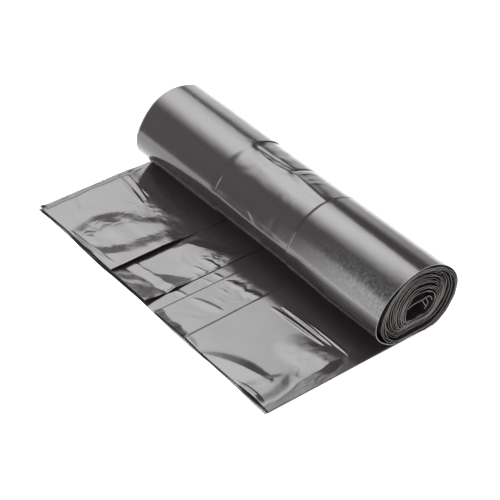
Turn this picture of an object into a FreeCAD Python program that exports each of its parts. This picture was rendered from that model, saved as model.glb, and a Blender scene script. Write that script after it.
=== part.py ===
import FreeCAD, Part
import math
import os

from FreeCAD import Vector

# Roll of joined refuse sacks, in millimetres. One long web of film, folded to a band of five
# panels, is wound on itself with no core. Its free end lies flat in front, and the roll rests on it.
# X runs along the roll, the free end reaches towards -Y, and the surface it lies on is Z = 0.

# the folded band
band_width = 271.6
left_flap = 94.0            # top panel at the -X side
right_flap = 91.2           # top panel at the +X side, at the front edge
flap_taper = 3.4            # the right flap is this much wider where it meets the roll
open_strip = 10.7           # bottom film seen between the two lower panels
strip_place = 136.0         # from the band's -X edge to the open strip
film_level = 0.5            # thickness of the bottom film
panel_rise = 0.35           # from the film up to a lower panel, and from there up to a flap

# the wound roll, seen along X
back_reach = 39.8           # from the resting line to the back of the roll
front_reach = 35.6          # the same to the front, before the lean
front_lean = 0.17           # the front leans back this much for each millimetre of height
roll_height = 55.8
roll_press = 3.4            # how far its own weight flattens the underside
turn_up = 0.7               # how gently the flat underside bends up
web = 1.0                   # thickness of one bunch of turns that lie tight together
wind_gap = 0.75             # air between two bunches
floor_gap = 0.25            # the same under the hollow, where the roll's weight closes it
bunches = 11
loose_front = 5.0           # extra air at the front, most of it behind the outer turn
tightening = 0.4            # share of that air still missing after each turn
waist_depth = 0.6           # the roll is slimmer between its two flaps
waist_ends = 0.1, 0.98      # the turns where the slimmer stretch starts and ends

# the web's inner end, in the hollow
end_angle = 36.0            # where it leaves the innermost turn, in degrees above +Y
core_flap = 18.0            # it runs this far towards -Y
core_drop = 2.3             # and falls this much
inner_fold = 9.0            # one of its layers hangs down this far
fold_place = 0.37           # from this share of the core flap
fold_slant = 4.7            # and stands this much towards +Y

# what each turn sticks out at +X past the free end, from the outermost turn in
wander = (0.0, 0.8, 0.4, -2.4, -4.4, -3.4, -2.6, -1.8, -1.0, -0.2, 0.4, 0.0)

# the free end
free_length = 120.3         # from the roll's resting line to the front edge of the film
edge_slant = 3.6            # how much further the front edge reaches at +X than at -X
edge_wave = 0.8             # half height of the waves in the front edge
wave_length = 84.0          # length of one wave
layer_setback = 0.9         # each layer stops this much behind the one below it
lip_width = 14.0            # the left flap's inner front corner stands up over this width
lip_length = 76.0           # and for this far back
lip_angle = 11.0            # its slope, in degrees
side_width = 8.0            # the right flap falls away over this width at its folded side
side_drop = 0.6             # and by this much

# low creases in the free end: where each one starts and ends, in X and Y. X counts from the folded
# side on a flap, and from the open strip on a lower panel
left_flap_creases = (
    ((3.8, -53), (38.8, -56)),
    ((10.8, -46), (37.8, -50)),
    ((43.8, -108), (48.8, -63)),
    ((72.8, -112), (83.8, -71)),
)
lower_left_creases = (
    ((-32.2, -99), (-4.2, -96)),
    ((-17.2, -58), (-3.2, -53)),
)
lower_right_creases = (
    ((3.1, -84), (29.1, -80)),
)
right_flap_creases = (
    ((-72.8, -116), (-22.8, -100)),
    ((-31.8, -106), (-11.8, -84)),
    ((-78.8, -54), (-26.8, -49)),
    ((-59.8, -48), (-19.8, -44)),
)
crease_width = 0.05         # half the width of a crease, as a share of its length
crease_height = 0.025       # its height, as a share of its length
crease_bow = 0.07           # how far it bends aside, as a share of its length
crease_root = 0.1           # it starts this far down in its panel

arcs_per_turn = 16
pitch = web + wind_gap
floor_pitch = web + floor_gap
band_start = -band_width / 2
band_end = band_width / 2
strip_start = band_start + strip_place
strip_end = strip_start + open_strip
left_line = band_start + left_flap
right_line = band_end - right_flap
turns = bunches + (end_angle / 360 + 0.25)


def middle_line(turn):
    """Middle of the web in Y and Z after this many turns, counted in from the resting line.

    An oval loses one pitch of reach on every side with each turn. Its lower half reaches a
    little below the turn under it, and a soft maximum of the two heights presses it flat.
    """
    angle = (turn - 0.25) * 2 * math.pi
    across = math.cos(angle)
    depth = web / 2 + pitch * turn
    floor = web / 2 + floor_pitch * turn
    slack = loose_front * (1 - tightening ** int(turn))
    reach = back_reach - depth if across > 0 else front_reach - depth - slack
    press = roll_press if math.sin(angle) < 0 else 0
    top = roll_height - depth
    height = (top + floor) / 2 + ((top - floor) / 2 + press) * math.sin(angle)
    above = (height - floor) / turn_up
    lifted = floor + turn_up * (above if above > 30 else math.log1p(math.exp(above)))
    lean = front_lean * (lifted - web / 2) * (1 - across) / 2
    return reach * across + lean, lifted


def heading(turn):
    """Direction of the web at this turn, as a unit step in Y and Z."""
    small = 1e-4
    ahead_y, ahead_z = middle_line(turn + small)
    here_y, here_z = middle_line(turn - small)
    length = math.hypot(ahead_y - here_y, ahead_z - here_z)
    return (ahead_y - here_y) / length, (ahead_z - here_z) / length


def beside(turn, offset):
    """Point at this offset from the middle of the web, positive towards the hollow."""
    y, z = middle_line(turn)
    step_y, step_z = heading(turn)
    return Vector(0, y - offset * step_z, z + offset * step_y)


def side_arcs(first, last, offset):
    """Chain of arcs beside the web between two turns."""
    count = max(2, round((last - first) * arcs_per_turn))
    places = [first + (last - first) * i / (2 * count) for i in range(2 * count + 1)]
    points = [beside(place, offset) for place in places]
    triples = zip(points[0:-2:2], points[1:-1:2], points[2::2])
    return [Part.Arc(*triple).toShape() for triple in triples]


def wound_band(first, last, outside, inside, start_x, end_x):
    """Part of the web between two turns and two offsets, stretched along X."""
    outer = side_arcs(first, last, outside)
    inner = side_arcs(first, last, inside)
    start_cap = Part.makeLine(beside(first, outside), beside(first, inside))
    end_cap = Part.makeLine(beside(last, outside), beside(last, inside))
    face = Part.Face(Part.Wire(outer + [end_cap] + inner[::-1] + [start_cap]))
    face.translate(Vector(start_x, 0, 0))
    return face.extrude(Vector(end_x - start_x, 0, 0))


def make_turns():
    """The wound turns, each one shifted along X by its own wander."""
    solids = []
    for number, shift in enumerate(wander):
        last = min(number + 1, turns)
        start_x = band_start + shift
        end_x = band_end + shift
        solids.append(wound_band(number, last, -web / 2, web / 2, start_x, end_x))
    return solids


def make_core_flap():
    """The web's inner end, which leaves the last turn and runs across the hollow."""
    run = Vector(0, -core_flap, -core_drop)
    hang = Vector(0, fold_slant, -inner_fold)
    root = Part.makeLine(beside(turns, -web / 2), beside(turns, web / 2))
    root.translate(Vector(band_start + wander[-1], 0, 0))
    flap = root.extrude(run).extrude(Vector(band_width, 0, 0))
    root.translate(run * fold_place)
    fold = root.extrude(hang).extrude(Vector(band_width, 0, 0))
    return flap.fuse(fold)


def make_waist():
    """What is taken off the outer turn between the flaps, where fewer layers are wound."""
    outside = -web / 2 - wind_gap / 2
    inside = -web / 2 + waist_depth
    start_x = left_line
    end_x = right_line - flap_taper
    return wound_band(*waist_ends, outside, inside, start_x, end_x)


def edge_point(x, layer, forward=0.0):
    """Point at the front of one layer of the free end, on a slanted line or ahead of it."""
    along = (x - band_start) / band_width
    return Vector(x, -free_length - edge_slant * (along - 0.5) + layer_setback * layer - forward, 0)


def wavy_edge(start_x, end_x, layer):
    """Front edge of a layer: arcs that bulge forward and back in turn."""
    count = max(1, round((end_x - start_x) / wave_length * 2))
    half = (end_x - start_x) / count / 2
    arcs = []
    for number in range(count):
        middle = start_x + (2 * number + 1) * half
        bulge = edge_wave if (number + layer) % 2 == 0 else -edge_wave
        ends = edge_point(middle - half, layer), edge_point(middle + half, layer)
        arcs.append(Part.Arc(ends[0], edge_point(middle, layer, bulge), ends[1]).toShape())
    return arcs


def make_panel(start_x, end_x, layer, bottom, top, start_shift=0.0):
    """One flat layer of the free end, from its front edge to the roll's resting line."""
    roll_start = Vector(start_x + start_shift, 0, 0)
    roll_end = Vector(end_x, 0, 0)
    sides = [
        Part.makeLine(edge_point(end_x, layer), roll_end),
        Part.makeLine(roll_end, roll_start),
        Part.makeLine(roll_start, edge_point(start_x, layer)),
    ]
    face = Part.Face(Part.Wire(wavy_edge(start_x, end_x, layer) + sides))
    face.translate(Vector(0, 0, bottom))
    return face.extrude(Vector(0, 0, top - bottom))


def bend_lip(flap, bottom, top):
    """Turn the left flap's inner front corner up along a slanted line."""
    hinge_front = edge_point(left_line - lip_width, 0, web) + Vector(0, 0, bottom)
    hinge_back = Vector(left_line, lip_length - free_length, bottom)
    outside = edge_point(left_line + web, 0, web) + Vector(0, 0, bottom)
    corner = Part.Face(Part.makePolygon([hinge_front, hinge_back, outside, hinge_front]))
    corner = corner.extrude(Vector(0, 0, 2 * (top - bottom)))
    lip = flap.common(corner)
    lip.rotate(hinge_front, hinge_front - hinge_back, lip_angle)
    return flap.cut(corner).fuse(lip)


def slope_side(flap, top):
    """Take a thin wedge off the right flap along its folded side."""
    inner = Vector(band_end - side_width, web, top)
    outer = Vector(band_end + web, web, top)
    lowest = Vector(band_end + web, web, top - side_drop)
    wedge = Part.Face(Part.makePolygon([inner, outer, lowest, inner]))
    return flap.cut(wedge.extrude(Vector(0, -free_length - 2 * edge_slant, 0)))


def panel_top(x):
    """Height of the free end's upper surface at this place across it."""
    if strip_start < x < strip_end:
        return film_level
    if left_line < x < right_line:
        return film_level + panel_rise
    return film_level + 2 * panel_rise


def make_crease(line, start, end):
    """Low tent over a bent line, with a level ridge and two slanted ends. X counts from a line."""
    level = panel_top(line + start[0])
    first = Vector(line + start[0], start[1], level - crease_root)
    last = Vector(line + end[0], end[1], level - crease_root)
    run = last - first
    side = Vector(-run.y, run.x, 0)
    rise = Vector(0, 0, crease_root + run.Length * crease_height)
    near = first + run / 3 + side * crease_bow
    far = last - run / 3 + side * crease_bow
    ridge_near, ridge_far = near + rise, far + rise
    outlines = []
    for wide in (side * crease_width, side * -crease_width):
        outlines.append([first, near + wide, ridge_near])
        outlines.append([near + wide, far + wide, ridge_far, ridge_near])
        outlines.append([far + wide, last, ridge_far])
    left, right = side * crease_width, side * -crease_width
    outlines.append([first, near + left, far + left, last, far + right, near + right])
    faces = [Part.Face(Part.makePolygon(points + points[:1])) for points in outlines]
    return Part.makeSolid(Part.makeShell(faces))


def make_free_end():
    """The folded band lying flat: the film, two lower panels on it, and a flap on each."""
    film = make_panel(band_start, band_end, 0, 0, film_level)
    low, high = film_level, film_level + panel_rise
    lower_left = make_panel(band_start, strip_start, 1, low, high)
    lower_right = make_panel(strip_end, band_end, 1, low, high)
    low, high = high, high + panel_rise
    left = make_panel(band_start, left_line, 2, low, high)
    right = make_panel(right_line, band_end, 2, low, high, -flap_taper)
    folded = [film, lower_left, lower_right, bend_lip(left, low, high), slope_side(right, high)]
    creases = [make_crease(band_start, *ends) for ends in left_flap_creases]
    creases += [make_crease(strip_start, *ends) for ends in lower_left_creases]
    creases += [make_crease(strip_end, *ends) for ends in lower_right_creases]
    creases += [make_crease(band_end, *ends) for ends in right_flap_creases]
    return folded + creases


def make_roll():
    """The whole web as one solid, centred on its own outline in X and Y."""
    layers = make_free_end()
    lying = layers[0].fuse(layers[1:])
    parts = make_turns() + [make_core_flap()]
    wound = parts[0].fuse(parts[1:]).cut(make_waist())
    roll = lying.fuse(wound).removeSplitter()
    box = roll.BoundBox
    roll.translate(Vector(-box.Center.x, -box.Center.y, 0))
    return roll


os.makedirs("parts", exist_ok=True)
make_roll().exportStep("parts/sack_roll.step")
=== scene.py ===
import bpy
import math
import numpy as np
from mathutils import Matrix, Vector


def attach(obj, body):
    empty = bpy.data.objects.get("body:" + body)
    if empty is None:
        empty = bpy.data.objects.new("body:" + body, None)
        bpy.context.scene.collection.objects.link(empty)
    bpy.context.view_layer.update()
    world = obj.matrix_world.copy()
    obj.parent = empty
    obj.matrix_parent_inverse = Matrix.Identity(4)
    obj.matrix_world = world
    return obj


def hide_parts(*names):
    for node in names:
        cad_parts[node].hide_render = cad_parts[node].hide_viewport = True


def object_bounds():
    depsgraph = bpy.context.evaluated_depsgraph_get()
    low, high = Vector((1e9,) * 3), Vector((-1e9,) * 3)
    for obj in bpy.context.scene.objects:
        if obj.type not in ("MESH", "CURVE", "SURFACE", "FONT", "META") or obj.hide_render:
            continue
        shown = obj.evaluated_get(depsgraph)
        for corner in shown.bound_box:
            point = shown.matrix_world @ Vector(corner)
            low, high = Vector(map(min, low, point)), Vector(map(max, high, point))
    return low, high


# A roll of black film bin bags lying on its own free end.
# Lengths are in millimetres until a mesh is made. X is the band's own X, counted from its middle,
# Y is counted from the line where the roll rests, and Z from the floor.

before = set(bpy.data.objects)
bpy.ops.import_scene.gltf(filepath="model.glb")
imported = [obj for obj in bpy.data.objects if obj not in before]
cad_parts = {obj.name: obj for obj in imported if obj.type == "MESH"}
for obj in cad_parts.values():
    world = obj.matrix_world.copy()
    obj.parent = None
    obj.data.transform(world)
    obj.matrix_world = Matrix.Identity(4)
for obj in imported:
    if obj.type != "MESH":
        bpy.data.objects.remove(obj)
cadLow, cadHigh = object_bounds()
print("frame loaded")

mm = 0.001
sharpFrom = 50                # degrees between two faces, from which their edge is shaded sharp

# the folded band and where it lies in the frame
band = {
    "width": 271.6,
    "leftLine": -41.8,        # inner edge of the left flap
    "rightLine": 44.6,        # inner edge of the right flap at the front edge
    "rightTaper": 3.4,        # it lies this much nearer the middle at the roll
    "stripStart": 0.2,        # the bottom film shows between these two
    "stripEnd": 10.9,
    "reach": 120.3,           # from the resting line to the front edge
    "slant": 3.6,             # the front edge reaches further at +X
    "endRoom": 0.8,           # the outermost a turn stands out at +X
    "backEdge": 39.36,        # from the resting line to the back of the roll
}
half = band["width"] / 2
placeX = cadHigh.x / mm - half - band["endRoom"]
placeY = cadHigh.y / mm - band["backEdge"]


def linear(hexColour):  # sRGB hex to linear RGBA: each channel through the standard curve
    parts = [int(hexColour[i:i + 2], 16) / 255 for i in (1, 3, 5)]
    return [p / 12.92 if p <= 0.04045 else ((p + 0.055) / 1.055) ** 2.4 for p in parts] + [1]


def addNode(tree, kind, settings=None, links=None):
    # Settings go to a socket or a property, and links to a socket. A socket is named or numbered.
    node = tree.nodes.new(kind)
    for name, value in (settings or {}).items():
        if isinstance(name, int) or name in node.inputs:
            node.inputs[name].default_value = value
        else:
            setattr(node, name, value)
    for name, source in (links or {}).items():
        tree.links.new(source, node.inputs[name])
    return node


def smooth(value):  # 0 below 0, 1 above 1, and an S curve between
    t = np.clip(value, 0, 1)
    return t * t * (3 - 2 * t)


def softMax(value, floor, width):  # the larger of the two, rounded over a width where they meet
    return floor + width * np.logaddexp(0, (value - floor) / width)


def cells(runs, end, gap=0):
    # Places along a line. Each run has its own start and step, and stops where the next one
    # starts. The last run stops a gap before the end.
    stops = [start for start, step in runs[1:]] + [end - gap]
    parts = [np.arange(start, stop, step) for (start, step), stop in zip(runs, stops)]
    return np.concatenate(parts + [[end]])


def waves(a, b, length, seed, count=9):
    # A sum of sine waves in random directions, each about one length long and about 1 high.
    rng = np.random.default_rng(seed)
    total = np.zeros(np.broadcast(a, b).shape)
    for turn, stretch, phase in rng.random((count, 3)):
        k = 2 * np.pi / (length * (0.7 + 0.9 * stretch))
        total += np.sin(k * (a * np.cos(turn * np.pi) + b * np.sin(turn * np.pi)) + phase * 7)
    return total / math.sqrt(count / 2) / 1.5


# camera, at the photograph's angle

cameraLook = {
    "azimuth": 52.2284,
    "elevation": 37.6025,
    "distance": 1206.8,       # from the look-at point
    "lookX": -3.8,            # look-at point on the floor, in the band's own X and Y
    "lookY": -26.37,
    "focalShare": 3.42428,    # focal length over the picture's width
    "sensor": 36.0,
    "clip": (0.05, 50),       # nearest and farthest thing it sees, in metres
}


def makeCamera():
    a = math.radians(cameraLook["azimuth"])
    e = math.radians(cameraLook["elevation"])
    back = Vector((math.sin(a) * math.cos(e), -math.cos(a) * math.cos(e), math.sin(e)))
    look = Vector((cameraLook["lookX"] + placeX, cameraLook["lookY"] + placeY, 0)) * mm
    data = bpy.data.cameras.new("productCamera")
    data.sensor_width = cameraLook["sensor"]
    data.lens = cameraLook["sensor"] * cameraLook["focalShare"]
    data.clip_start, data.clip_end = cameraLook["clip"]
    camera = bpy.data.objects.new("productCamera", data)
    bpy.context.collection.objects.link(camera)
    camera.location = look + back * cameraLook["distance"] * mm
    camera.rotation_mode = "QUATERNION"
    camera.rotation_quaternion = (-back).to_track_quat("-Z", "Y")
    bpy.context.scene.camera = camera


makeCamera()
print("camera placed")


# meshes

def meshPiece(name, points, quads, material, marks=None):
    # Points in the band's millimetres become one closed mesh in metres, in the frame's own place.
    # Marks are one value for each point, by name, for the material to read.
    mesh = bpy.data.meshes.new(name)
    placed = (points + np.array([placeX, placeY, 0])) * mm
    mesh.vertices.add(len(placed))
    mesh.vertices.foreach_set("co", placed.astype(np.float32).ravel())
    mesh.loops.add(quads.size)
    mesh.loops.foreach_set("vertex_index", quads.astype(np.int32).ravel())
    mesh.polygons.add(len(quads))
    mesh.polygons.foreach_set("loop_start", np.arange(0, quads.size, 4, dtype=np.int32))
    mesh.polygons.foreach_set("use_smooth", np.ones(len(quads), bool))
    mesh.update(calc_edges=True)
    mesh.validate()
    mesh.set_sharp_from_angle(angle=math.radians(sharpFrom))
    for mark, values in (marks or {}).items():
        attribute = mesh.attributes.new(mark, "FLOAT", "POINT")
        attribute.data.foreach_set("value", np.asarray(values, np.float32).ravel())
    mesh.materials.append(material)
    piece = bpy.data.objects.new(name, mesh)
    bpy.context.collection.objects.link(piece)
    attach(piece, "root")
    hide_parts("sack_roll")
    print("made", name, len(quads) * 2, "triangles")


def gridQuads(rows, columns, start=0, closed=False):
    # The four corners of every cell of a grid of points, its columns joined round if it is closed.
    index = np.arange(rows * columns).reshape(rows, columns) + start
    if closed:
        index = np.concatenate([index, index[:, :1]], axis=1)
    corners = [index[:-1, :-1], index[1:, :-1], index[1:, 1:], index[:-1, 1:]]
    return np.stack(corners, -1).reshape(-1, 4)


def closedSheet(name, top, bottom, material, rimHighlight, worn=None):
    # Two equal grids, one over the other, joined by a strip of faces all round their rim. The rim
    # takes the given share of the edge's lighter colour, a painted highlight, and worn is how
    # scuffed each point is.
    rows, columns = top.shape[:2]
    upper = gridQuads(rows, columns)
    lower = gridQuads(rows, columns, rows * columns)[:, ::-1]
    index = np.arange(rows * columns).reshape(rows, columns)
    rim = np.concatenate([index[:, 0], index[-1, 1:], index[-2::-1, -1], index[0, -2:0:-1]])
    after = np.roll(rim, -1)
    shift = rows * columns
    walls = np.stack([rim, rim + shift, after + shift, after], -1)
    points = np.concatenate([top.reshape(-1, 3), bottom.reshape(-1, 3)])
    # painted highlight: the rim's points are marked by this share for the lighter edge colour
    edge = np.zeros((rows, columns))
    edge[[0, -1], :] = rimHighlight
    edge[:, [0, -1]] = rimHighlight
    wear = np.zeros((rows, columns)) if worn is None else worn
    marks = {"rim": np.concatenate([edge.ravel(), edge.ravel()]),
             "worn": np.concatenate([wear.ravel(), wear.ravel()])}
    meshPiece(name, points, np.concatenate([upper, lower, walls]), material, marks)


def facets(a, b, size, seed, count=5):
    # Crumpled film: triangle waves in random directions over bent coordinates, which give flat
    # facets between sharp creases. Each is between -1 and 1, and about one size long.
    rng = np.random.default_rng(seed)
    bentA = a + 0.45 * size * waves(a, b, size * 2.3, seed + 1)
    bentB = b + 0.45 * size * waves(a, b, size * 2.3, seed + 2)
    total = np.zeros(np.broadcast(a, b).shape)
    for turn, stretch, phase in rng.random((count, 3)):
        length = size * (0.6 + 0.9 * stretch)
        share = (bentA * np.cos(turn * np.pi) + bentB * np.sin(turn * np.pi)) / length + phase
        total += (4 * abs(share - np.floor(share) - 0.5) - 1) * length / size
    return total / math.sqrt(count)


def foldField(x, y, folds):
    # Height of a set of folds, each like a low tent over a bowed line. Its two sides fall straight
    # over their own widths. Width and height shrink towards both ends. The last number rounds it.
    total = np.zeros(np.broadcast(x, y).shape)
    for startX, startY, endX, endY, bow, left, right, height, soft in folds:
        runX, runY = endX - startX, endY - startY
        length = math.hypot(runX, runY)
        along = ((x - startX) * runX + (y - startY) * runY) / length ** 2
        inside = np.clip(along, 0, 1)
        taper = np.sin(inside * np.pi) ** 0.7
        off = ((y - startY) * runX - (x - startX) * runY) / length - bow * 4 * inside * (1 - inside)
        wide = np.where(off > 0, left, right) * (0.3 + 0.7 * taper)
        fall = 1 - (np.sqrt(off ** 2 + soft ** 2) - soft) / wide
        slack = 0.08 + 0.25 * soft / max(left, right)
        total += height * taper * softMax(fall, 0, slack)
    return total


# materials

filmLook = {
    "colour": "#302b2c",
    "edgeHighlightColour": "#9c9896",  # a cut or torn edge, lighter as a painted highlight
    "edgeDull": 0.3,          # and is this much rougher
    "wornColour": "#6f7775",
    "wornGrain": 5.0,         # the grain stands up this much more where the film is scuffed
    "wornFrom": (0.4, 0.7),   # only its higher specks are worn, between these heights
    "roughness": 0.14,
    "uneven": (0.8, 1.25),    # the least and most of the roughness, as shares of it
    "ior": 1.51,              # polyethylene
    "lineGap": 2.6,           # between the faint lines that the die leaves along the web
    "lineChange": 14,         # how often a line changes in a metre of its length
    "lineHeight": 0.010,
    "grain": 1.1,             # size of the film's fine unevenness
    "grainHeight": 0.016,
    "cockle": 8.0,            # size of its soft unevenness
    "cockleHeight": 0.10,
}


def blownFilm(name, roughness):
    # Low-density polyethylene film with carbon black, blown, folded and wound. It is a dark mirror
    # with almost no colour of its own. Its reflections waver with every small crease, and faint
    # lines run along the web from the die. Where it is scuffed it is greyer and duller.
    material = bpy.data.materials.new(name)
    material.use_nodes = True
    tree = material.node_tree
    tree.nodes.clear()
    place = addNode(tree, "ShaderNodeTexCoord").outputs["Object"]
    # a noise's bumps are about half as wide as its period: its scale is a half over their size
    change = filmLook["lineChange"]
    lines = addNode(tree, "ShaderNodeMapping",
                    {"Scale": (1 / filmLook["lineGap"] / mm, change, change)}, {"Vector": place})
    lineNoise = addNode(tree, "ShaderNodeTexNoise", {"Scale": 1.0, "Detail": 3.0},
                        {"Vector": lines.outputs["Vector"]})
    grain = addNode(tree, "ShaderNodeTexNoise",
                    {"Scale": 0.5 / filmLook["grain"] / mm, "Detail": 4.0, "Roughness": 0.6},
                    {"Vector": place})
    cockle = addNode(tree, "ShaderNodeTexNoise",
                     {"Scale": 0.5 / filmLook["cockle"] / mm, "Detail": 3.0, "Distortion": 0.8},
                     {"Vector": place})
    rim = addNode(tree, "ShaderNodeAttribute", {"attribute_name": "rim"})
    worn = addNode(tree, "ShaderNodeAttribute", {"attribute_name": "worn"})
    coarser = addNode(tree, "ShaderNodeMath",
                      {"operation": "MULTIPLY_ADD", 1: filmLook["wornGrain"], 2: 1.0},
                      {0: worn.outputs["Fac"]})
    grainHeight = addNode(tree, "ShaderNodeMath", {"operation": "MULTIPLY"},
                          {0: coarser.outputs[0], 1: grain.outputs["Fac"]})
    normal = {}
    for height, source in (("lineHeight", lineNoise.outputs["Fac"]),
                           ("grainHeight", grainHeight.outputs[0]),
                           ("cockleHeight", cockle.outputs["Fac"])):
        bump = addNode(tree, "ShaderNodeBump",
                       {"Strength": 1.0, "Distance": filmLook[height] * mm},
                       {"Height": source, **normal})
        normal = {"Normal": bump.outputs["Normal"]}
    wornLow, wornHigh = filmLook["wornFrom"]
    speck = addNode(tree, "ShaderNodeMapRange", {"From Min": wornLow, "From Max": wornHigh},
                    {"Value": grain.outputs["Fac"]})
    scuff = addNode(tree, "ShaderNodeMath", {"operation": "MULTIPLY"},
                    {0: worn.outputs["Fac"], 1: speck.outputs["Result"]})
    film = addNode(tree, "ShaderNodeMix",
                   {"data_type": "RGBA", 6: linear(filmLook["colour"]),
                    7: linear(filmLook["wornColour"])},
                   {"Factor": scuff.outputs[0]})
    # painted highlight: where the rim mark is set, the film takes the lighter edge colour for the
    # light its edges catch
    colour = addNode(tree, "ShaderNodeMix",
                     {"data_type": "RGBA", 7: linear(filmLook["edgeHighlightColour"])},
                     {"Factor": rim.outputs["Fac"], 6: film.outputs[2]})
    least, most = filmLook["uneven"]
    rough = addNode(tree, "ShaderNodeMapRange",
                    {"To Min": roughness * least, "To Max": roughness * most},
                    {"Value": cockle.outputs["Fac"]})
    duller = addNode(tree, "ShaderNodeMath",
                     {"operation": "MULTIPLY_ADD", "use_clamp": True, 1: filmLook["edgeDull"]},
                     {0: rim.outputs["Fac"], 2: rough.outputs["Result"]})
    shader = addNode(tree, "ShaderNodeBsdfPrincipled", {"IOR": filmLook["ior"]},
                     {"Base Color": colour.outputs[2], "Roughness": duller.outputs[0], **normal})
    addNode(tree, "ShaderNodeOutputMaterial", None, {"Surface": shader.outputs["BSDF"]})
    return material


rollFilm = blownFilm("blackFilmWound", filmLook["roughness"] * 1.1)    # a little duller
flatFilm = blownFilm("blackFilmLying", filmLook["roughness"])
print("film materials made")


# the wound section

wind = {
    "back": 39.8,             # reach behind the resting line, to the middle of the web
    "front": 35.6,            # and in front of it
    "lean": 0.17,             # how far the front leans back with height
    "height": 55.8,
    "press": 3.4,             # how far the underside would hang below the floor
    "turnUp": 0.7,            # rounding where it leaves the floor
    "web": 1.0,               # thickness of a bunch of turns
    "pitch": 1.75,            # from one bunch to the next
    "floorPitch": 1.25,       # and under the hollow, where they are pressed
    "loose": 5.0,             # room between the outer turn's front and the tight turns
    "tightening": 0.4,        # the share of that room which each turn leaves
    "taper": 0.031,           # the roll is this share lower at +X and higher at -X
    "flare": 0.009,           # and this share higher at both ends
}


def sectionPoint(turn, depthTurns, slackTurns):
    # An oval that loses a pitch of reach a turn, and at the front a share of the loose room too.
    # A soft maximum presses its underside flat, and the front leans back with height.
    angle = (turn - 0.25) * 2 * np.pi
    across = np.cos(angle)
    depth = wind["web"] / 2 + wind["pitch"] * depthTurns
    floor = wind["web"] / 2 + wind["floorPitch"] * depthTurns
    slack = wind["loose"] * (1 - wind["tightening"] ** slackTurns)
    reach = np.where(across > 0, wind["back"] - depth, wind["front"] - depth - slack)
    press = np.where(np.sin(angle) < 0, wind["press"], 0)
    top = wind["height"] - depth
    height = (top + floor) / 2 + ((top - floor) / 2 + press) * np.sin(angle)
    lifted = softMax(height, floor, wind["turnUp"])
    lean = wind["lean"] * (lifted - wind["web"] / 2) * (1 - across) / 2
    return reach * across + lean, lifted


def sideways(y, z):  # unit step at right angles to a path in Y and Z, towards its left
    stepY, stepZ = np.gradient(y, axis=0), np.gradient(z, axis=0)
    length = np.hypot(stepY, stepZ)
    return -stepZ / length, stepY / length


def tapered(x, z):  # height at X of a point of the middle section
    return z * (1 - wind["taper"] * x / half + wind["flare"] * (x / half) ** 2)


# the outer turn

outerTurn = {
    "from": -0.02, "to": 1.03,    # turns, counted from the resting line round the back
    "rows": 190,
    # sizes of the cells in the left part, its step, the waist, its right step and the right part
    "cells": (1.5, 0.35, 0.95, 0.2, 1.6),
    "thickness": 0.5,
    "waist": 0.7,             # the stretch between the flaps lies this much lower
    "leftStep": (8.0, 1.0),   # width of the step down to it, and where that is steepest
    "rightStep": 0.9,
    "drift": 0.4,             # how far the steps wander in X
    "swell": 0.10,            # height of the slow waves in the film
    "facets": (0.06, 0.012),  # and of the flat facets, in the waist and beside it
    "rag": 0.35,              # how far the ends wander in X
    "worn": 0.6,              # how scuffed the front is at +X
    "belly": 1.3,             # the right part hangs forward this much, low down
    "sag": 1.0,               # and the whole front this much, a little above that
    # creases: X and turn of both ends, bow, width on either side, height, rounding
    "creases": (
        (-54.0, 0.503, -41.0, 0.470, 0.0, 1.6, 1.6, -0.08, 0.4),
        (-41.5, 0.490, -40.0, 0.380, 0.0, 1.8, 1.6, 0.14, 0.4),
        (-43.0, 0.484, 2.0, 0.468, 1.6, 6.0, 2.5, -0.75, 0.6),
        (-36.0, 0.494, 0.0, 0.488, 3.0, 1.6, 7.0, 0.70, 0.8),
        (1.0, 0.478, 42.0, 0.500, 1.0, 3.0, 5.0, 0.70, 0.4),
        (-2.0, 0.490, 2.0, 0.380, 1.0, 1.2, 1.8, -0.40, 0.2),
        (5.0, 0.476, 9.0, 0.400, -1.0, 1.2, 1.6, 0.26, 0.3),
        (12.5, 0.480, 15.0, 0.430, -1.0, 1.2, 1.8, 0.10, 0.3),
        (18.0, 0.484, 23.0, 0.420, -1.0, 1.4, 2.4, 0.14, 0.3),
        (2.0, 0.392, 30.0, 0.372, 0.0, 0.7, 1.0, -0.30, 0.2),
        (-4.0, 0.520, 28.0, 0.542, 1.5, 3.0, 4.0, -0.30, 1.0),
        (-36.0, 0.540, -6.0, 0.560, -1.0, 4.0, 3.0, 0.25, 1.0),
        (-40.5, 0.640, -41.5, 0.730, 0.0, 0.5, 0.5, 0.20, 0.2),
        (-50.0, 0.738, 50.0, 0.750, 0.6, 6.0, 3.0, 0.50, 0.4),
        (-6.0, 0.700, 8.0, 0.738, 0.0, 2.0, 1.2, 0.25, 0.2),
        (40.8, 0.260, 40.8, 0.800, 0.0, 0.55, 0.35, -0.30, 0.1),
        (41.8, 0.260, 41.8, 0.800, 0.0, 0.5, 0.7, 0.18, 0.1),
    ),
}


def frontSag(turn):  # 1 low down on the front, 0 elsewhere
    return smooth((turn - 0.675) / 0.1) * (1 - smooth((turn - 0.775) / 0.13))


def lowBelly(turn):  # the same, a little lower and narrower
    return np.exp(-((turn - 0.81) / 0.055) ** 2)


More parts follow.
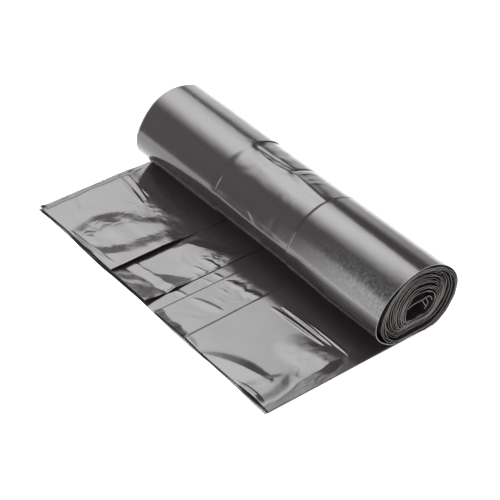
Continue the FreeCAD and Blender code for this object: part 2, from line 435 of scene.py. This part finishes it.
def makeOuterTurn():
    # Grid of turn and X. The outside is the section moved out by half the web. The waist, slow
    # waves, facets and creases are added along the same direction.
    turn = np.linspace(outerTurn["from"], outerTurn["to"], outerTurn["rows"])
    leftLine, rightLine = band["leftLine"], band["rightLine"] - band["rightTaper"]
    starts = (-half, leftLine - 5, leftLine + 4, rightLine - 2, rightLine + 2)
    x = np.append(cells(list(zip(starts, outerTurn["cells"])), half - 0.1, 0.4), half)
    y, z = sectionPoint(turn, turn, np.zeros_like(turn))
    sideY, sideZ = sideways(y, z)
    around = np.concatenate([[0], np.cumsum(np.hypot(np.diff(y), np.diff(z)))])
    gridX, gridAround = np.meshgrid(x, around)
    gridTurn = np.broadcast_to(turn[:, None], gridX.shape)
    onTop = np.exp(-((gridTurn - 0.40) / 0.07) ** 2)      # where the left step is steepest
    broad, steep = outerTurn["leftStep"]
    leftStep = broad - (broad - steep) * onTop
    drift = outerTurn["drift"] * np.sin(gridAround / 31 + 1)
    waist = smooth((gridX - leftLine - drift) / leftStep + 0.5)
    waist = waist * (1 - smooth((gridX - rightLine + 0.4 * drift) / outerTurn["rightStep"] + 0.5))
    waistFacets, otherFacets = outerTurn["facets"]
    swell = outerTurn["swell"] * waves(gridX * 0.6, gridAround * 1.3, 60, 11)
    swell = swell + waistFacets * waist * facets(gridX, gridAround, 20, 12)
    swell = swell + otherFacets * (1 - waist) * facets(gridX * 0.5, gridAround, 12, 14)
    hang = lowBelly(gridTurn) * smooth((gridX - 40) / 50)
    out = wind["web"] / 2 - outerTurn["waist"] * waist + swell
    out = out + outerTurn["belly"] * hang + outerTurn["sag"] * frontSag(gridTurn)
    creases = np.array(outerTurn["creases"])
    creases[:, [1, 3]] = np.interp(creases[:, [1, 3]], turn, around)      # turns to millimetres
    out = out + foldField(gridX, gridAround, creases)
    nearEnds = smooth(abs(gridX) / half * 4 - 3)
    rag = outerTurn["rag"] * waves(gridAround, 0 * gridX, 45, 13) * nearEnds
    raggedX = gridX + np.sign(gridX) * rag

    def surface(offset):  # the section moved out by an offset
        pointY = y[:, None] - offset * sideY[:, None]
        pointZ = z[:, None] - offset * sideZ[:, None]
        return np.stack([raggedX, pointY, tapered(raggedX, np.maximum(pointZ, 0.02))], -1)

    worn = outerTurn["worn"] * np.exp(-((gridTurn - 0.67) / 0.06) ** 2) * smooth((gridX - 45) / 80)
    inside = surface(out - outerTurn["thickness"])
    # its rim takes the whole painted edge highlight
    closedSheet("outerTurn", surface(out)[::-1], inside[::-1], rollFilm, 1.0, worn[::-1])


makeOuterTurn()


# the turns inside, and the loose inner end in the hollow

innerTurns = {
    "first": 1.0, "last": 12.1,   # bunches of turns, as the section counts them
    "films": 1.9,             # films to a bunch
    "steps": 64,              # points to a turn
    "gauge": 0.09,            # half a film's thickness
    "rim": 0.10,              # and half of it at its two ends
    "sway": 0.25,             # how far the ends sway from side to side
    "swayLength": 8.0,
    "bunching": (0.22, 0.05), # how far the films draw together, slowly and quickly
    "hold": 4.5,              # films until they have left the outer turn's sag and belly
    "leftRag": 0.7,           # the left end is this much as ragged as the right
    # how far each bunch stands out at +X
    "wander": (0.0, 0.8, 0.4, -2.4, -4.4, -3.4, -2.6, -1.8, -1.0, -0.2, 0.4, 0.0),
}


def carryFilm(name, y, z, leftX, rightX, look, seed, belly=0):
    # A closed loop across the film, with round ends, is carried along a path in Y and Z. The loop
    # has many points near the two ends, where the film sways from side to side. The right end
    # stands out further by the belly.
    sideY, sideZ = sideways(y, z)
    bend = np.linspace(0, np.pi, 6)
    inward = np.array([90, 40, 16, 6, 2.0, 0.7])          # distances of its points from an end
    gauge = np.where(inward > 3, look["gauge"], look["rim"])
    endX = np.concatenate([-inward, look["rim"] * (np.sin(bend) - 1), -inward[::-1]])
    endOff = np.concatenate([gauge, look["rim"] * np.cos(bend), -gauge[::-1]])
    loopX = np.concatenate([endX, -endX])
    loopOff = np.concatenate([endOff, -endOff])
    right = np.repeat([1.0, 0.0], endX.size)              # 1 for the points of the right end
    along = np.concatenate([[0], np.cumsum(np.hypot(np.diff(y), np.diff(z)))])
    sway = look["sway"] * waves(along, 0 * along, look["swayLength"], seed)
    x = rightX[:, None] * right + leftX[:, None] * (1 - right) + loopX
    offset = loopOff[None, :] + sway[:, None] * np.exp(-abs(loopX) / 9)[None, :]
    offset = offset - (belly + 0 * y)[:, None] * right * smooth((95 - abs(loopX)) / 50)
    pointY = y[:, None] + offset * sideY[:, None]
    pointZ = z[:, None] + offset * sideZ[:, None]
    points = np.stack([x, pointY, tapered(x, pointZ)], -1)
    rows, columns = x.shape
    quads = [gridQuads(rows, columns, 0, True)[:, ::-1]]
    pairs = np.arange(columns // 2 - 1)
    for first, flip in ((0, False), ((rows - 1) * columns, True)):
        strip = np.stack([pairs, pairs + 1, columns - 2 - pairs, columns - 1 - pairs], -1) + first
        quads.append(strip[:, ::-1] if flip else strip)
    # painted highlight: the round ends of each film take the lighter edge colour for the light they
    # catch
    tipHighlight = np.broadcast_to(np.exp(-(abs(loopX) / 0.25) ** 2), x.shape)
    meshPiece(name, points.reshape(-1, 3), np.concatenate(quads), rollFilm, {"rim": tipHighlight})


def makeInnerTurns():
    # The spiral has several films to each bunch of turns. Its depth advances unevenly, so that
    # the films draw together in bunches.
    count = (innerTurns["last"] - innerTurns["first"]) * innerTurns["films"]
    film = np.linspace(0, count, int(count * innerTurns["steps"]))
    turn = innerTurns["first"] + film
    depth = innerTurns["first"] + np.maximum(film - 0.65, 0) / innerTurns["films"]
    slow, quick = innerTurns["bunching"]
    bunching = slow * np.sin(2 * np.pi * film / 3.7) + quick * np.sin(film * 5.3)
    depth = depth + bunching * smooth(film - 1)
    y, z = sectionPoint(turn, depth, depth)
    sideY, sideZ = sideways(y, z)
    fade = np.exp(-film / innerTurns["hold"])         # how far a film still follows the outer turn
    follow = outerTurn["sag"] * frontSag(turn % 1) * fade
    y, z = y - follow * sideY, z - follow * sideZ
    wander = np.interp(depth, np.arange(len(innerTurns["wander"])), innerTurns["wander"])
    ragged = 0.55 * np.sin(film * 2.9 + 1) + 0.35 * np.sin(film * 9.1) + 0.15 * np.sin(film * 23)
    leftX = wander + innerTurns["leftRag"] * ragged[::-1] - half
    belly = outerTurn["belly"] * lowBelly(turn % 1) * fade
    carryFilm("innerTurns", y, z, leftX, wander + ragged + half, innerTurns, 31, belly)


coreFlap = {
    "gauge": 0.2, "rim": 0.22, "sway": 0.3, "swayLength": 8.0,
    "points": 40,             # along each layer
    # layers: name, how far it stands out at +X, seed, and its path in Y and Z
    "layers": (
        ("coreFlap", -0.2, 41, ((17.4, 23.5), (16.0, 26.8), (12.5, 29.0), (5.0, 28.5),
                                (-1.5, 27.0), (-3.6, 25.2))),
        ("coreFold", -1.0, 42, ((8.2, 27.8), (9.8, 25.0), (11.4, 22.0), (12.6, 19.6),
                                (11.2, 18.2))),
        ("coreCrumple", -2.0, 43, ((10.4, 28.8), (12.8, 27.0), (14.4, 24.4), (15.2, 21.0),
                                   (13.6, 18.4))),
    ),
}


def makeCoreFlap():
    # Each loose layer is a smooth path through a few points of the hollow, in Y and Z.
    share = np.linspace(0, 1, coreFlap["points"])
    soft = np.hanning(9) / np.hanning(9).sum()
    for name, shift, seed, path in coreFlap["layers"]:
        knots = np.linspace(0, 1, len(path))
        y, z = (np.interp(share, knots, line) for line in np.array(path).T)
        y, z = (np.convolve(np.pad(line, 4, "edge"), soft, "valid") for line in (y, z))
        y = y + share * 0.02                          # so that no two points coincide
        ends = half + shift + 0.4 * waves(share * 20, 0 * share, 14, seed + 5)
        carryFilm(name, y, z, ends - 2 * half, ends, coreFlap, seed)


makeInnerTurns()
makeCoreFlap()


# the free end

freeEnd = {
    "fine": 0.55,             # size of the cells where a layer shows
    "coarse": 2.5,            # where it doesn't
    "edge": (0.2, 1.2),       # and beside its inner edge, with how far that goes
    "rollShade": -40.0,       # from this Y to the roll the layers lie in its shade
    "stillAt": -24.0,         # from here to the roll they lie quite still,
    "stillOver": 18.0,        # and their relief dies out over this length before it
    "tuck": 4.0,              # how far they run in past the resting line
    "rounding": 0.15,         # where a layer rests on the one below
    "waveRun": 15.4,          # length of a front edge's slow waves, over two pi
    "jag": 0.1,               # height of its jags
    "jagRate": 2.3,           # and their number in a millimetre, times two pi
}


def frontY(x, layer):
    # The slanted line of the front edge, with slow waves and the fine jags of torn perforations.
    along = (x + half) / band["width"]
    wave = layer["frontWave"] * np.sin(x / freeEnd["waveRun"] + layer["seed"])
    wave = wave + freeEnd["jag"] * np.sin(x * freeEnd["jagRate"] + layer["seed"])
    return -band["reach"] - band["slant"] * (along - 0.5) + wave + layer["setback"]


def spot(x, y, centreX, centreY, wideX, wideY):  # 1 in the middle of an ellipse, fading out of it
    return np.exp(-((x - centreX) / wideX) ** 2 - ((y - centreY) / wideY) ** 2)


def makeLayer(layer, shape):
    # Grid of two shares, one across the layer and one from its front edge to under the roll. Its
    # height is its level plus slow waves, facets, what its own shape function adds, and creases,
    # and a soft maximum keeps that from sinking too far.
    startX, endX = layer["across"]
    rollStartX, rollEndX = layer.get("atRoll", layer["across"])
    showStart, showEnd = layer["shows"]
    fine, coarse, (edge, edgeWidth) = freeEnd["fine"], freeEnd["coarse"], freeEnd["edge"]
    placesX = cells(((startX, coarse), (showStart, edge), (showStart + edgeWidth, fine),
                     (showEnd, coarse)), endX, 0.3)
    placesY = cells(((-band["reach"], fine), (freeEnd["rollShade"], coarse)), freeEnd["tuck"])
    shareX = (placesX - startX) / (endX - startX)
    shareY = (placesY + band["reach"]) / (band["reach"] + freeEnd["tuck"])
    across, back = np.meshgrid(shareX, shareY)
    frontX = startX + (endX - startX) * across
    rollX = rollStartX + (rollEndX - rollStartX) * across
    x = frontX + (rollX - frontX) * back
    front = frontY(frontX, layer)
    y = front + (freeEnd["tuck"] - front) * back
    free = smooth((freeEnd["stillAt"] - y) / freeEnd["stillOver"])
    relief = layer["swell"] * waves(x, y, 36, layer["seed"])
    relief = relief + layer["crumple"] * facets(x, y, layer["facet"], layer["seed"] + 3)
    relief = relief + shape(x, y) + foldField(x, y, layer["creases"])
    lowest = layer["level"] - layer["sag"]
    z = softMax(layer["level"] + relief * free, lowest, freeEnd["rounding"])
    top = np.stack([x, y, z], -1)
    bottom = top - np.array([0, 0, layer["thickness"]])
    bottom[..., 2] = np.maximum(bottom[..., 2], 0.01)
    closedSheet(layer["name"], top, bottom, flatFilm, 0.0)


# Each layer says where it lies across X and where it shows, its thickness, the level of its top,
# how far it may sink, how far its front edge is set back and waves, its seed, the height of its
# slow waves and of its facets, and their size. Creases: X and Y of both ends, bow, width on the
# left and right of that run, height, rounding.

bottomFilm = {
    "name": "bottomFilm", "across": (-half, half), "shows": (0.0, 11.2),
    "thickness": 0.25, "level": 0.28, "sag": 0.06, "setback": 0.0, "frontWave": 0.5, "seed": 21,
    "swell": 0.02, "crumple": 0.04, "facet": 9.0,
    "creases": (
        (0.0, -96.0, 12.0, -92.0, 0.6, 2.8, 1.6, 0.42, 0.2),
        (4.5, -100.5, 10.0, -99.0, 0.0, 1.0, 1.0, 0.20, 0.1),
        (1.0, -73.0, 12.0, -69.0, 0.0, 1.2, 2.0, 0.25, 0.2),
        (1.0, -64.0, 12.0, -61.0, 0.0, 3.0, 2.0, 0.35, 0.3),
    ),
}

lowerLeftPanel = {
    "name": "lowerLeftPanel", "across": (-half + 0.6, band["stripStart"]), "shows": (-47.0, 0.0),
    "thickness": 0.25, "level": 0.70, "sag": 0.18, "setback": 0.9, "frontWave": 0.6, "seed": 22,
    "swell": 0.08, "crumple": 0.07, "facet": 17.0,
    "ridge": (0.28, 1.35),    # height at its left end, and how much it grows to the right
    "turnUp": 2.3,            # rise of the film towards the front edge
    "hump": 1.0,              # height of the film behind the ridge
    "fall": 0.13,             # and its slope down towards the roll
    "nearRoll": 0.10,         # height of the crumples near the roll
    "creases": (
        (-14.0, -59.5, 2.0, -56.0, 0.0, 1.8, 2.4, 0.40, 0.2),
        (-12.0, -70.0, 0.0, -66.0, 0.0, 1.4, 2.4, 0.28, 0.2),
        (-8.0, -75.0, 1.0, -72.5, 0.0, 1.0, 1.8, 0.15, 0.2),
        (-2.2, -121.0, -1.2, -52.0, 0.0, 1.6, 1.0, 0.22, 0.3),
        (-30.0, -86.0, -12.0, -72.0, 0.0, 8.0, 8.0, 0.25, 2.0),
    ),
}

lowerRightPanel = {
    "name": "lowerRightPanel", "across": (band["stripEnd"], half - 0.6),
    "shows": (band["stripEnd"], 46.0),
    "thickness": 0.25, "level": 0.80, "sag": 0.30, "setback": 0.9, "frontWave": 0.6, "seed": 24,
    "swell": 0.06, "crumple": 0.04, "facet": 17.0,
    "turnUp": 0.7,            # rise of the front edge
    "nearRoll": 0.08,         # height of the crumples near the roll
    "dip": 1.2,               # width of the bend down at its inner edge
    "creases": (
        (14.0, -91.5, 40.0, -82.5, 0.6, 2.6, 6.0, 0.48, 0.3),
        (14.0, -71.5, 30.0, -68.5, 0.6, 1.2, 2.0, 0.14, 0.2),
        (22.0, -79.0, 35.0, -76.0, 0.0, 1.4, 2.5, 0.10, 0.3),
        (14.0, -62.0, 31.0, -57.0, 0.0, 4.0, 3.0, 0.45, 0.8),
        (29.0, -60.0, 46.0, -53.0, 0.0, 4.0, 3.0, 0.45, 0.8),
    ),
}

leftFlap = {
    "name": "leftFlap", "across": (-half, band["leftLine"]), "shows": (-half, band["leftLine"]),
    "thickness": 0.3, "level": 1.15, "sag": 0.30, "setback": 1.6, "frontWave": 0.7, "seed": 27,
    "swell": 0.05, "crumple": 0.02, "facet": 24.0,
    "stand": 1.3,             # how far the inner edge stands up
    "hem": 0.45, "groove": 0.35,  # height of the folded side and depth of the groove beside it
    "curl": 1.2,              # rise of the outer corner
    "slope": 0.062,           # rise of the blister away from the roll
    "hollow": 0.8,            # beside the roll it lies this much lower
    "sink": 0.9,              # and so does its inner part towards the front
    "uneven": 0.22,           # share by which its height varies
    "lift": 0.6,              # of the whole flap
    "mottle": (0.08, 0.02),   # soft dents and facets of the cloudy patch
    "nearRoll": 0.03,         # height of the crumples near the roll
    "creases": (
        (-136.0, -49.5, -93.0, -55.8, 0.5, 1.4, 2.4, 0.80, 0.2),
        (-130.0, -43.5, -95.0, -51.0, 0.5, 1.2, 1.4, 0.50, 0.2),
        (-112.0, -45.0, -97.0, -46.5, 0.0, 0.8, 0.8, 0.25, 0.2),
        (-98.0, -115.0, -44.0, -112.5, -1.6, 1.8, 1.3, 0.60, 0.2),
        (-86.0, -109.5, -72.0, -107.0, 0.0, 3.0, 4.0, 0.14, 0.8),
        (-74.0, -103.0, -60.0, -102.0, 0.0, 3.0, 4.0, 0.16, 0.8),
        (-134.0, -90.0, -111.0, -98.5, -1.0, 3.0, 5.0, 0.26, 0.6),
    ),
}

rightFlap = {
    "name": "rightFlap", "across": (band["rightLine"], half), "shows": (band["rightLine"], half),
    "atRoll": (band["rightLine"] - band["rightTaper"], half),     # its two sides at the roll
    "thickness": 0.3, "level": 1.40, "sag": 0.48, "setback": 1.6, "frontWave": 0.6, "seed": 25,
    "swell": 0.06, "crumple": 0.02, "facet": 26.0,
    "sideSlope": 0.11,        # slope beyond the wavy line
    "ridge": 0.06,            # low ridge beside it
    "puff": 1.1,              # rise of the soft swelling at the front
    "nearSide": 0.07,         # height of the crumples near the folded side
    "dip": 2.0,               # width of the bend down at its inner edge
    "creases": (
        (63.0, -122.5, 117.0, -102.0, 3.2, 8.0, 16.0, 1.15, 0.3),
        (56.0, -55.0, 110.0, -52.3, 0.6, 2.2, 1.6, 0.85, 0.2),
        (60.0, -48.8, 113.0, -48.4, 0.6, 1.8, 1.4, 0.75, 0.2),
        (76.0, -45.8, 128.0, -46.4, 0.6, 1.4, 1.2, 0.55, 0.2),
        (86.0, -72.0, 131.0, -60.0, 0.0, 14.0, 14.0, 1.1, 2.5),
        (100.0, -118.4, 128.0, -117.4, 0.6, 1.4, 1.2, 0.50, 0.2),
        (43.0, -118.5, 60.0, -120.0, 0.6, 3.0, 2.0, 0.35, 0.4),
    ),
}


def stillShape(x, y):  # the bottom film has no shape of its own
    return 0 * x


def dip(distance, width):  # the last stretch before an inner edge turns down
    return -0.24 * width * np.clip(1 - distance / width, 0, 1)


def lowerRightShape(x, y):
    # The front edge turns up, and small crumples lie near the roll.
    look = lowerRightPanel
    past = (-y - 114.3 + 0.8 * waves(x, 0 * y, 12, 53)) / 4.5
    turnUp = look["turnUp"] * np.clip(past, 0, 1.5) * smooth((46 - x) / 4)
    crumple = look["nearRoll"] * facets(x, y, 7.0, 51) * spot(x, y, 28, -62, 16, 9)
    return turnUp + crumple + dip(x - band["stripEnd"], look["dip"])


def lowerLeftShape(x, y):
    # A ridge runs across to the right edge, where its far side is broad. Before it the film rises
    # towards the front edge, and behind it a hump falls away towards the roll. Small crumples lie
    # near the roll.
    look = lowerLeftPanel
    grow = smooth((x + 25) / 22)
    past = y + 94.4 - 0.124 * x + 0.5 * waves(x, 0 * y, 11, 55)
    side = np.where(past > 0, past / (2 + 13 * grow), -past / 7)
    low, more = look["ridge"]
    ridge = (low + more * grow) * np.clip(1 - side, 0, 1)
    before = (-y - 100.0 + 0.2 * x + 0.8 * waves(x, y, 14, 56)) / 15
    turnUp = look["turnUp"] * np.clip(before, 0, 1.25)
    ends = smooth((4 - x) / 14)
    hump = look["hump"] * smooth((y + 84) / 24) * smooth((x + 43) / 9) * ends
    behind = np.clip(y + 57 - 0.55 * (x + 34), 0, 9)
    fall = look["fall"] * behind * smooth((x + 40) / 8) * ends
    crumple = look["nearRoll"] * facets(x, y, 6.0, 54) * spot(x, y, -8, -60, 12, 8)
    return ridge + turnUp + hump - fall + crumple


def leftFlapShape(x, y):
    # The inner edge stands up towards the front. The folded side has a groove beside it, and the
    # outer corner curls. A low blister with a curved left side rises away from the roll, and its
    # inner part sinks again towards the front.
    look = leftFlap
    inner = smooth((x + 54 + 0.012 * (y + 80) ** 2) / 18 + 0.5)
    stand = look["stand"] * inner * smooth((-y - 54) / 24)
    side = x + half - 0.5 * np.sin(y / 9) - 0.4 * np.sin(y / 3.7)
    groove = look["groove"] * np.exp(-((side - 3.2) / 0.8) ** 2)
    hem = look["hem"] * smooth(1 - side / 2.4) - groove
    curl = look["curl"] * spot(x, y, -half, -118, 7, 4)
    flank = smooth((x + 91 - 0.013 * (y + 96) ** 2 + 2.5 * waves(x, y, 30, 64)) / 27 + 0.5)
    slope = look["slope"] * np.clip(-y - 40, 0, 36)
    sink = look["sink"] * smooth((x + 86) / 26) * smooth((-y - 62) / 22)
    blister = flank * (slope - look["hollow"]) - sink
    uneven = 1 + look["uneven"] * waves(x, y, 26, 68) * smooth((y + 114) / 16)
    lift = look["lift"] * smooth((-y - 30) / 16)
    cloudy = smooth((x + 104) / 14) * smooth((-y - 44) / 10) * smooth((y + 116) / 10)
    dents, wrinkles = look["mottle"]
    mottle = dents * cloudy * waves(x, y, 16, 62) + wrinkles * cloudy * facets(x, y, 6, 66)
    ripple = look["nearRoll"] * facets(x * 0.6, y, 5.0, 61) * spot(x, y, -76, -60, 24, 12)
    return stand + hem + curl + blister * uneven + lift + mottle + ripple


def rightFlapShape(x, y):
    # The flap rises towards its folded side, and falls away evenly beyond a wavy line. Before the
    # line, at the front, it swells softly.
    look = rightFlap
    side = half - x
    line = 4.4 + 5.4 * smooth((y + 118) / 45) + 0.5 * np.sin(y / 5) + 0.3 * np.sin(y / 2.1)
    drop = look["sideSlope"] * line
    rise = (drop - 0.2) * smooth((x - 98) / 30)
    ridge = look["ridge"] * np.exp(-((side - line - 0.8) / 1.0) ** 2)
    lean = x - 0.2 * (y + 115) + 0.8 * waves(x, y, 12, 67)
    puff = look["puff"] * smooth((lean - 103) / 12) * smooth((side - line) / 12)
    puff = puff * smooth((-y - 78) / 24)
    toRoll = (y + band["reach"]) / (band["reach"] + freeEnd["tuck"])
    inner = x - band["rightLine"] + band["rightTaper"] * toRoll
    ripple = look["nearSide"] * facets(x, y * 0.6, 6.0, 63) * spot(x, y, 114, -72, 14, 22)
    fallen = drop * np.clip(1 - side / line, 0, 1)
    return rise - fallen + ridge + puff + ripple + dip(inner, look["dip"])


makeLayer(bottomFilm, stillShape)
makeLayer(lowerLeftPanel, lowerLeftShape)
makeLayer(lowerRightPanel, lowerRightShape)
makeLayer(leftFlap, leftFlapShape)
makeLayer(rightFlap, rightFlapShape)
print("free end made")


# studio: white floor, soft boxes and a white room

studio = {
    "floor": "#f4f4f4",
    "floorSize": 6.0,         # half its side, in metres
    "floorLift": 0.7,         # how much brighter the camera sees it
    "glossyLift": 1.4,        # and the film, in its reflections
    "room": 0.47,             # plain light from everywhere
    "dimRoom": 0.15,          # the room is darker on the far side
    "dimSpan": (0.3, 0.8),    # between these cosines to the wall's direction
    "backWall": 2.8,          # but its far wall, seen in the roll's far edge, is bright
    "wallAt": (-0.811, 0.568, 0.139),
    "wallSide": (0.643, 0.766, 0),    # a direction along the wall
    "wallFade": (0.42, 0.09), # the wall begins and is full at these shares of that direction
    "wallEnd": (-0.5, -0.2),  # and at these on its other side
    "wallTop": (0.43, 0.25),  # and at these heights
    "sideRise": (0, 0.31),    # a box rises from its first side's brightness over this share
    "lowRise": (0.28, 0.62),  # and from its lower side's over this
    # soft boxes: centre and aim in the band's millimetres, size, brightness, the share of the size
    # over which it fades at either side, below and above, and how bright its first side and its
    # lower side are
    "boxes": {
        "mainBox": {"centre": (-915, 158, 1052), "aim": (8, -89, 29), "size": (1456, 1092),
                    "level": 9.3, "fades": (0.115, 0.50, 0.154, 0.28), "dims": (0.6, 0.68)},
        "frontFill": {"centre": (-80, -291, 118), "aim": (115, -25, 50), "size": (190, 236),
                      "level": 5.0, "fades": (0.5, 0.3, 0.01, 0.4)},
        "endFill": {"centre": (900, -150, 420), "aim": (135, 0, 25), "size": (500, 500),
                    "level": 4.0, "fades": (0.4, 0.4, 0.4, 0.4)},
        # only whitens the paper in front
        "sweepLight": {"centre": (-420, -430, 420), "aim": (-420, -430, 0), "size": (420, 420),
                       "level": 12.0, "fades": (0.3, 0.3, 0.3, 0.3), "seenInFilm": False},
    },
}


def makeFloor():
    # A white sheet under the object that keeps its shadow. The camera sees it a little brighter
    # than the light makes it, and the film's reflections see it brighter still.
    size = studio["floorSize"]
    mesh = bpy.data.meshes.new("floor")
    corners = [(-size, -size, 0), (size, -size, 0), (size, size, 0), (-size, size, 0)]
    mesh.from_pydata(corners, [], [(0, 1, 2, 3)])
    floor = bpy.data.objects.new("floor", mesh)
    bpy.context.collection.objects.link(floor)
    material = bpy.data.materials.new("whitePaperFloor")
    material.use_nodes = True
    tree = material.node_tree
    tree.nodes.clear()
    paper = addNode(tree, "ShaderNodeBsdfDiffuse", {"Color": linear(studio["floor"])})
    path = addNode(tree, "ShaderNodeLightPath")
    glossy = addNode(tree, "ShaderNodeMath", {"operation": "MULTIPLY", 1: studio["glossyLift"]},
                     {0: path.outputs["Is Glossy Ray"]})
    strength = addNode(tree, "ShaderNodeMath",
                       {"operation": "MULTIPLY_ADD", 1: studio["floorLift"]},
                       {0: path.outputs["Is Camera Ray"], 2: glossy.outputs[0]})
    lift = addNode(tree, "ShaderNodeEmission", {"Color": (1, 1, 1, 1)},
                   {"Strength": strength.outputs[0]})
    both = addNode(tree, "ShaderNodeAddShader", None, {0: paper.outputs[0], 1: lift.outputs[0]})
    addNode(tree, "ShaderNodeOutputMaterial", None, {"Surface": both.outputs[0]})
    mesh.materials.append(material)


def makeSoftBox(name, centre, aim, size, level, fades, dims=(1, 1), seenInFilm=True):
    # Area light whose brightness fades smoothly over a share of its size at each edge, and rises
    # from its first side and from below. The ramps are multiplied together.
    place = Vector((centre[0] + placeX, centre[1] + placeY, centre[2])) * mm
    target = Vector((aim[0] + placeX, aim[1] + placeY, aim[2])) * mm
    data = bpy.data.lights.new(name, "AREA")
    data.shape = "RECTANGLE"
    data.size, data.size_y = size[0] * mm, size[1] * mm
    data.energy = level * math.pi * data.size * data.size_y
    data.use_nodes = True
    tree = data.node_tree
    tree.nodes.clear()
    face = addNode(tree, "ShaderNodeNewGeometry")
    axes = addNode(tree, "ShaderNodeSeparateXYZ", None, {"Vector": face.outputs["Parametric"]})
    ramps = (("X", *studio["sideRise"], dims[0], "LINEAR"),
             ("Y", *studio["lowRise"], dims[1], "LINEAR"),
             ("X", 0, fades[0], 0, "SMOOTHSTEP"),
             ("X", 1, 1 - fades[1], 0, "SMOOTHSTEP"),
             ("Y", 0, fades[2], 0, "SMOOTHSTEP"),
             ("Y", 1, 1 - fades[3], 0, "SMOOTHSTEP"))
    glow = {}
    for axis, start, end, low, curve in ramps:
        fade = addNode(tree, "ShaderNodeMapRange",
                       {"interpolation_type": curve, "From Min": start, "From Max": end,
                        "To Min": low},
                       {"Value": axes.outputs[axis]})
        product = addNode(tree, "ShaderNodeMath", {"operation": "MULTIPLY", 0: 1.0},
                          {**glow, 1: fade.outputs["Result"]})
        glow = {0: product.outputs[0]}
    light = addNode(tree, "ShaderNodeEmission", None, {"Strength": glow[0]})
    addNode(tree, "ShaderNodeOutputLight", None, {"Surface": light.outputs[0]})
    box = bpy.data.objects.new(name, data)
    bpy.context.collection.objects.link(box)
    box.location = place
    box.rotation_mode = "QUATERNION"
    box.rotation_quaternion = (target - place).to_track_quat("-Z", "Y")
    box.visible_camera = False
    box.visible_glossy = seenInFilm


def makeWorld():
    # A plain room with a bright wall low on the far side. A direction's share towards the wall is
    # its dot product with the wall's. The camera sees plain white.
    world = bpy.data.worlds.new("whiteRoom")
    world.use_nodes = True
    tree = world.node_tree
    tree.nodes.clear()
    direction = addNode(tree, "ShaderNodeTexCoord").outputs["Generated"]
    near, side = (addNode(tree, "ShaderNodeVectorMath",
                          {"operation": "DOT_PRODUCT", 1: studio[way]}, {0: direction})
                  for way in ("wallAt", "wallSide"))
    axes = addNode(tree, "ShaderNodeSeparateXYZ", None, {"Vector": direction})
    dimStart, dimEnd = studio["dimSpan"]
    dim = addNode(tree, "ShaderNodeMapRange",
                  {"From Min": dimStart, "From Max": dimEnd, "To Min": studio["room"],
                   "To Max": studio["dimRoom"]},
                  {"Value": near.outputs["Value"]})
    wall = {}
    limits = (("wallTop", axes.outputs["Z"], "SMOOTHSTEP", studio["backWall"]),
              ("wallFade", side.outputs["Value"], "LINEAR", 1.0),
              ("wallEnd", side.outputs["Value"], "LINEAR", 1.0))
    for span, source, curve, most in limits:
        start, end = studio[span]
        ramp = addNode(tree, "ShaderNodeMapRange",
                       {"interpolation_type": curve, "From Min": start, "From Max": end,
                        "To Max": most},
                       {"Value": source})
        product = addNode(tree, "ShaderNodeMath", {"operation": "MULTIPLY", 0: 1.0},
                          {**wall, 1: ramp.outputs["Result"]})
        wall = {0: product.outputs[0]}
    level = addNode(tree, "ShaderNodeMath", {"operation": "ADD"},
                    {0: dim.outputs["Result"], 1: wall[0]})
    path = addNode(tree, "ShaderNodeLightPath")
    seen = addNode(tree, "ShaderNodeMix", {"data_type": "FLOAT", "B": 1.0},
                   {"Factor": path.outputs["Is Camera Ray"], "A": level.outputs[0]})
    air = addNode(tree, "ShaderNodeBackground", {"Color": (1, 1, 1, 1)},
                  {"Strength": seen.outputs[0]})
    addNode(tree, "ShaderNodeOutputWorld", None, {"Surface": air.outputs[0]})
    bpy.context.scene.world = world


makeFloor()
for boxName, boxLook in studio["boxes"].items():
    makeSoftBox(boxName, **boxLook)
makeWorld()
bpy.context.scene.view_settings.view_transform = "Standard"
print("studio made")
